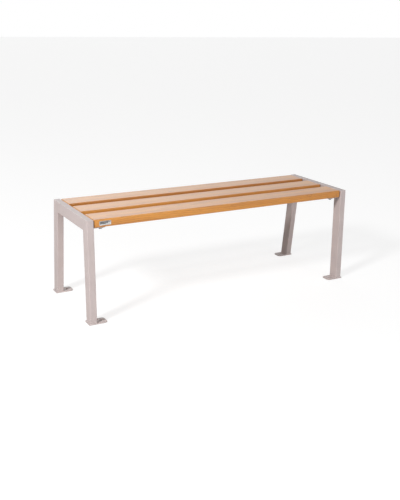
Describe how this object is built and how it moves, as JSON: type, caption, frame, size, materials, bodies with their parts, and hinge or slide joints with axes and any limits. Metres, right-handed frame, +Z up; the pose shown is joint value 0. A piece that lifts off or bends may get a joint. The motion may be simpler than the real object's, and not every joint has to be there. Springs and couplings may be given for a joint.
{
  "type": "backless bench",
  "caption": "Low backless bench: long parallel wooden slats held between rectangular steel tube end frames with splayed rear legs and inward-reaching foot plates.",
  "frame": {"origin": "on the floor, under the middle of the bench's outline", "axes": "+Z up, +X along the bench to its right end as seen from the front, -Y towards the front"},
  "size_m": [1.342, 0.48, 0.45],
  "materials": {
    "frame_paint": "satin powder coat",
    "slat_wood": "satin wood stain",
    "fixings": "zinc plated",
    "inserts": "machined",
    "name_plate_metal": "satin anodised"
  },
  "bodies": {
    "root": {"left_rail": "frame_paint", "left_front_leg": "frame_paint", "left_front_foot_plate": "frame_paint", "left_rear_leg": "frame_paint", "left_rear_foot_plate": "frame_paint", "left_front_slat_tab": "frame_paint", "left_middle_slat_tab": "frame_paint", "left_rear_slat_tab": "frame_paint", "left_slat_bolts": "fixings", "left_slat_washers": "fixings", "left_slat_inserts": "inserts", "right_rail": "frame_paint", "right_front_leg": "frame_paint", "right_front_foot_plate": "frame_paint", "right_rear_leg": "frame_paint", "right_rear_foot_plate": "frame_paint", "right_front_slat_tab": "frame_paint", "right_middle_slat_tab": "frame_paint", "right_rear_slat_tab": "frame_paint", "right_slat_bolts": "fixings", "right_slat_washers": "fixings", "right_slat_inserts": "inserts", "front_slat": "slat_wood", "middle_slat": "slat_wood", "rear_slat": "slat_wood", "name_plate": "name_plate_metal"}
  },
  "joints": []
}
